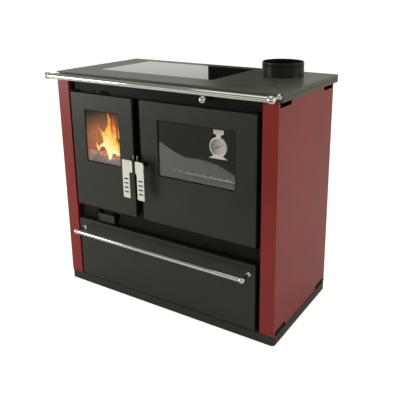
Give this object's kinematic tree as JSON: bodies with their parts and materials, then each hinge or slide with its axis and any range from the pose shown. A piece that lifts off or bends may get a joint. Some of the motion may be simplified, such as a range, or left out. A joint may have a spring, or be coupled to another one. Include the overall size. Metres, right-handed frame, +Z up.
{
  "type": "wood-burning cook stove",
  "caption": "Wood-burning cook stove with glazed fire and oven doors, ceramic hob, round lid, flue collar, towel rails and a storage drawer.",
  "frame": {"origin": "on the floor, under the middle of the hob", "axes": "+X to the right seen from the front, +Y to the back, +Z up"},
  "size_m": [0.943, 0.5279, 0.9],
  "materials": {
    "plinth_black": "satin black powder coat",
    "side_red": "semi-gloss deep red enamel paint",
    "frame_black": "semi-gloss black enamel paint",
    "casing_steel": "heat-resistant grey-black paint",
    "zinc_steel": "zinc-coated sheet",
    "hob_iron": "ground cast iron, stove-black finish",
    "lid_iron": "ground cast iron",
    "hob_glass": "black glass-ceramic",
    "seal": "flat woven glass tape",
    "collar_black": "matt black cast iron",
    "oven_enamel": "baked oven enamel",
    "wire": "chromed wire",
    "firebrick": "porous firebrick",
    "grate_iron": "rough cast iron",
    "rail_chrome": "polished chrome",
    "keeper_steel": "bright steel",
    "door_black": "semi-gloss black enamel paint",
    "liner_black": "heat-resistant black paint",
    "door_glass": "clear heat-resistant glass",
    "gasket": "braided glass-fibre rope",
    "bush_bronze": "sintered bronze, dark with oil",
    "latch_black": "blackened steel",
    "handle_steel": "brushed stainless",
    "dial": "printed dial, left blank",
    "thermo_case": "pressed bright steel",
    "needle": "dark painted pointer",
    "knob_chrome": "polished chrome",
    "grip_black": "matt black casting"
  },
  "bodies": {
    "stove": {"plinth": "plinth_black", "base_plate": "casing_steel", "left_side_panel": "side_red", "right_side_panel": "side_red", "back_panel": "casing_steel", "casing_screws": "zinc_steel", "front_frame": "frame_black", "inner_casing": "casing_steel", "heat_shield": "zinc_steel", "hob_frame": "hob_iron", "hob_glass": "hob_glass", "hob_glass_seal": "seal", "flue_collar": "collar_black", "flue_box": "casing_steel", "oven_box": "oven_enamel", "oven_rack": "wire", "soot_hatch": "frame_black", "side_bricks": "firebrick", "back_brick": "firebrick", "hearth_plate": "grate_iron", "grate": "grate_iron", "ash_pan": "zinc_steel", "hinge_brackets": "frame_black", "latch_keeper": "keeper_steel", "drawer_runners": "zinc_steel", "hob_rail": "rail_chrome", "hob_rail_ends": "rail_chrome", "hob_rail_brackets": "rail_chrome", "damper_bush": "bush_bronze"},
    "lid": {"round_lid": "lid_iron"},
    "fire_door": {"fire_door_panel": "door_black", "fire_door_liner": "liner_black", "fire_door_glass": "door_glass", "fire_glass_clips": "zinc_steel", "fire_door_gasket": "gasket", "fire_door_bushes": "bush_bronze"},
    "fire_handle_body": {"fire_handle": "handle_steel", "fire_latch": "latch_black"},
    "oven_door": {"oven_door_panel": "door_black", "oven_door_liner": "liner_black", "oven_door_glass": "door_glass", "oven_glass_clips": "zinc_steel", "oven_door_gasket": "gasket", "oven_door_bushes": "bush_bronze", "thermometer_case": "thermo_case", "thermometer_dial": "dial"},
    "oven_handle_body": {"oven_handle": "handle_steel", "oven_latch": "latch_black"},
    "needle": {"thermometer_needle": "needle"},
    "drawer": {"drawer_front": "door_black", "drawer_box": "casing_steel", "drawer_rail": "rail_chrome", "drawer_rail_ends": "rail_chrome", "drawer_rail_brackets": "rail_chrome"},
    "damper": {"damper_knob": "knob_chrome", "damper_rod": "keeper_steel", "damper_plate": "casing_steel"},
    "air_slider": {"air_slider_grip": "grip_black", "air_slider_plate": "latch_black"},
    "air_wash": {"air_wash_slider": "latch_black"}
  },
  "joints": [
    {"name": "fire_door_hinge", "type": "hinge", "parent": "stove", "child": "fire_door", "pos_m": [-0.384, -0.2345, 0.562], "axis": [0, 0, -1], "range_deg": [0, 120]},
    {"name": "oven_door_hinge", "type": "hinge", "parent": "stove", "child": "oven_door", "pos_m": [0.384, -0.2345, 0.562], "axis": [0, 0, 1], "range_deg": [0, 120]},
    {"name": "fire_handle_turn", "type": "hinge", "parent": "fire_door", "child": "fire_handle_body", "pos_m": [-0.1115, -0.2345, 0.556], "axis": [0, 1, 0], "range_deg": [-5, 75]},
    {"name": "oven_handle_turn", "type": "hinge", "parent": "oven_door", "child": "oven_handle_body", "pos_m": [-0.045, -0.2345, 0.556], "axis": [0, -1, 0], "range_deg": [-5, 75]},
    {"name": "needle_turn", "type": "hinge", "parent": "oven_door", "child": "needle", "pos_m": [0.248, -0.2315, 0.658], "axis": [0, -1, 0], "range_deg": [-100, 130]},
    {"name": "drawer_slide", "type": "slide", "parent": "stove", "child": "drawer", "axis": [0, -1, 0], "range_m": [0, 0.32]},
    {"name": "damper_pull", "type": "slide", "parent": "stove", "child": "damper", "axis": [0, -1, 0], "range_m": [0, 0.06]},
    {"name": "air_slide", "type": "slide", "parent": "stove", "child": "air_slider", "axis": [1, 0, 0], "range_m": [-0.024, 0.024]},
    {"name": "air_wash_slide", "type": "slide", "parent": "stove", "child": "air_wash", "axis": [1, 0, 0], "range_m": [-0.024, 0.024]},
    {"name": "lid_lift", "type": "slide", "parent": "stove", "child": "lid", "axis": [0, 0, 1], "range_m": [0, 0.1]}
  ]
}
